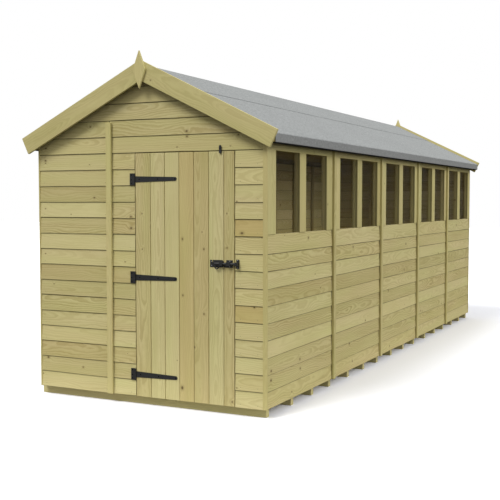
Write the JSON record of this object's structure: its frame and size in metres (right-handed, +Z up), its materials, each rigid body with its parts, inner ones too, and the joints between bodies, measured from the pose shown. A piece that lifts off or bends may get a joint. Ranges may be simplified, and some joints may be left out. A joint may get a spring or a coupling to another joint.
{
  "type": "wooden garden shed",
  "caption": "Apex-roofed timber garden shed with overlap cladding, mineral felt roof, a boarded gable door with a bolt and turn button, and fixed windows along one side.",
  "frame": {"origin": "centre of the shed's footprint on the ground, under the floor joists", "axes": "+X towards the window wall, across the gables; +Y along the ridge from the door gable to the back gable; +Z up"},
  "size_m": [2.138, 6.156, 2.549],
  "materials": {
    "cladding_timber": "pressure-treated softwood boards, rough sawn, pale green-yellow",
    "trim_timber": "planed pressure-treated softwood, pale green-yellow",
    "door_timber": "tongued and grooved pressure-treated softwood boards",
    "framing_timber": "sawn pressure-treated softwood",
    "roofing_felt": "bitumen roofing felt with pale grey mineral chips",
    "glazing": "clear sheet glazing",
    "black_iron": "black japanned steel, satin"
  },
  "bodies": {
    "shed": {"front_cladding_hinge_side": "cladding_timber", "front_cladding_latch_side": "cladding_timber", "front_gable_cladding": "cladding_timber", "back_cladding": "cladding_timber", "back_gable_cladding": "cladding_timber", "blind_side_cladding": "cladding_timber", "window_side_cladding": "cladding_timber", "front_cover_strip": "trim_timber", "back_cover_strip": "trim_timber", "blind_side_cover_strips": "trim_timber", "window_side_cover_strips": "trim_timber", "corner_trims": "trim_timber", "window_heads": "trim_timber", "window_stiles": "trim_timber", "window_mullions": "trim_timber", "front_bargeboards": "trim_timber", "back_bargeboards": "trim_timber", "front_finial": "trim_timber", "back_finial": "trim_timber", "floor_joists": "framing_timber", "floor_boards": "framing_timber", "front_wall_studs": "framing_timber", "front_wall_rails": "framing_timber", "back_wall_studs": "framing_timber", "back_wall_rails": "framing_timber", "blind_side_studs": "framing_timber", "blind_side_rails": "framing_timber", "window_side_studs": "framing_timber", "window_side_rails": "framing_timber", "ridge_beam": "framing_timber", "roof_rafters": "framing_timber", "roof_boards": "framing_timber", "eave_fascias": "framing_timber", "roof_felt": "roofing_felt", "eave_felt_folds": "roofing_felt", "ridge_felt_cap": "roofing_felt", "window_panes": "glazing", "hinge_plates": "black_iron", "bolt_keep": "black_iron", "turn_button_pivot": "black_iron"},
    "door": {"door_boards": "door_timber", "door_ledges": "framing_timber", "door_braces": "framing_timber", "hinge_straps": "black_iron", "bolt_case": "black_iron"},
    "door_bolt": {"bolt_rod": "black_iron"},
    "turn_button": {"turn_button": "black_iron"}
  },
  "joints": [
    {"name": "door_hinge", "type": "hinge", "parent": "shed", "child": "door", "pos_m": [-0.092, -3.006, 0.935], "axis": [0, 0, -1], "range_deg": [0, 170]},
    {"name": "bolt_slide", "type": "slide", "parent": "door", "child": "door_bolt", "axis": [-1, 0, 0], "range_m": [0, 0.04]},
    {"name": "button_turn", "type": "hinge", "parent": "shed", "child": "turn_button", "pos_m": [0.612, -3.007, 1.855], "axis": [0, -1, 0], "range_deg": [0, 90]}
  ]
}
